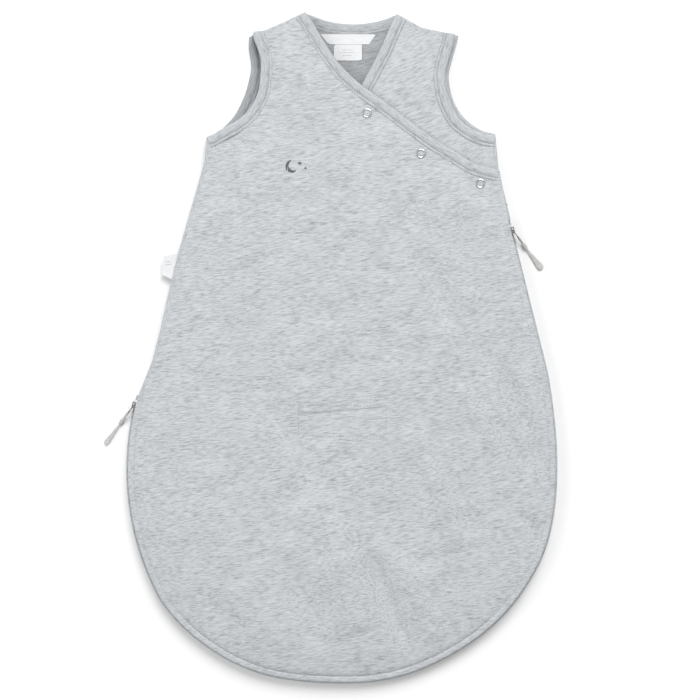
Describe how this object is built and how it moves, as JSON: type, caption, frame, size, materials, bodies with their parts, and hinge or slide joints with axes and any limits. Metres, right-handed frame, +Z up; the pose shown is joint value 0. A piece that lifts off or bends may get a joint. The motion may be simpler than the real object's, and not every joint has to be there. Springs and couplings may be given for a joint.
{
  "type": "baby sleeping bag",
  "caption": "Sleeveless wrap-front baby sleeping bag in grey jersey, with a perimeter zip, ring press studs and a harness slot, lying flat.",
  "frame": {"origin": "under the middle of the bag's bounding box, on the surface it lies on", "axes": "+Z up out of the front, +Y towards the neck, +X towards the side where the wrap closes (the right side seen from the front)"},
  "size_m": [0.4348, 0.6407, 0.0139],
  "materials": {
    "jersey": "heathered cotton jersey, matt",
    "zip_tape": "woven tape",
    "zip_coil": "nylon coil",
    "zip_metal": "dark nickel",
    "snap_metal": "bright nickel",
    "label": "woven satin",
    "pull_cord": "flat woven ribbon",
    "thread": "embroidery thread"
  },
  "bodies": {
    "back": {"back_panel": "jersey", "front_side_panel": "jersey", "underlap": "jersey", "neck_binding_back": "jersey", "neck_binding_underlap": "jersey", "armhole_binding_left": "jersey", "armhole_binding_right": "jersey", "zip_tape_back": "zip_tape", "zip_tape_front_end": "zip_tape", "zip_coil_back": "zip_coil", "zip_coil_front_end": "zip_coil", "zip_end_stop": "zip_metal", "zip_top_stop_back": "zip_metal", "zip_guard": "jersey", "snap_stud_1": "snap_metal", "snap_stud_2": "snap_metal", "snap_stud_3": "snap_metal", "snap_post_ring_1": "snap_metal", "snap_post_ring_2": "snap_metal", "snap_post_ring_3": "snap_metal", "harness_facing_back": "jersey", "neck_label": "label", "size_label": "label", "side_label": "label"},
    "front": {"front_panel": "jersey", "neck_binding_front": "jersey", "zip_tape_front": "zip_tape", "zip_coil_front": "zip_coil", "zip_top_stop_front": "zip_metal", "harness_facing_front": "jersey", "embroidered_motif": "thread", "snap_cap_ring_1": "snap_metal", "snap_cap_ring_2": "snap_metal", "snap_cap_ring_3": "snap_metal", "snap_socket_1": "snap_metal", "snap_socket_2": "snap_metal", "snap_socket_3": "snap_metal"},
    "upper_slider": {"upper_slider": "zip_metal"},
    "lower_slider": {"lower_slider": "zip_metal"},
    "upper_pull": {"upper_pull_tab": "zip_metal", "upper_pull_cord": "pull_cord"},
    "lower_pull": {"lower_pull_tab": "zip_metal", "lower_pull_cord": "pull_cord"}
  },
  "joints": [
    {"name": "front_fold", "type": "hinge", "parent": "back", "child": "front", "pos_m": [-0.036, 0.322, 0.0145], "axis": [-0.3855, -0.9227, 0], "range_deg": [0, 175]},
    {"name": "upper_zip", "type": "slide", "parent": "back", "child": "upper_slider", "axis": [0.2418, -0.9703, 0], "range_m": [0, 0.12]},
    {"name": "lower_zip", "type": "hinge", "parent": "back", "child": "lower_slider", "pos_m": [0.0547, -0.1157, 0.0065], "axis": [0, 0, 1], "range_deg": [0, 40.5]},
    {"name": "upper_pull_swing", "type": "hinge", "parent": "upper_slider", "child": "upper_pull", "pos_m": [0.16319, 0.11296, 0.0065], "axis": [0, 0, 1], "range_deg": [-15, 125]},
    {"name": "lower_pull_swing", "type": "hinge", "parent": "lower_slider", "child": "lower_pull", "pos_m": [-0.19839, -0.054, 0.0065], "axis": [0, 0, -1], "range_deg": [-15, 125]}
  ]
}
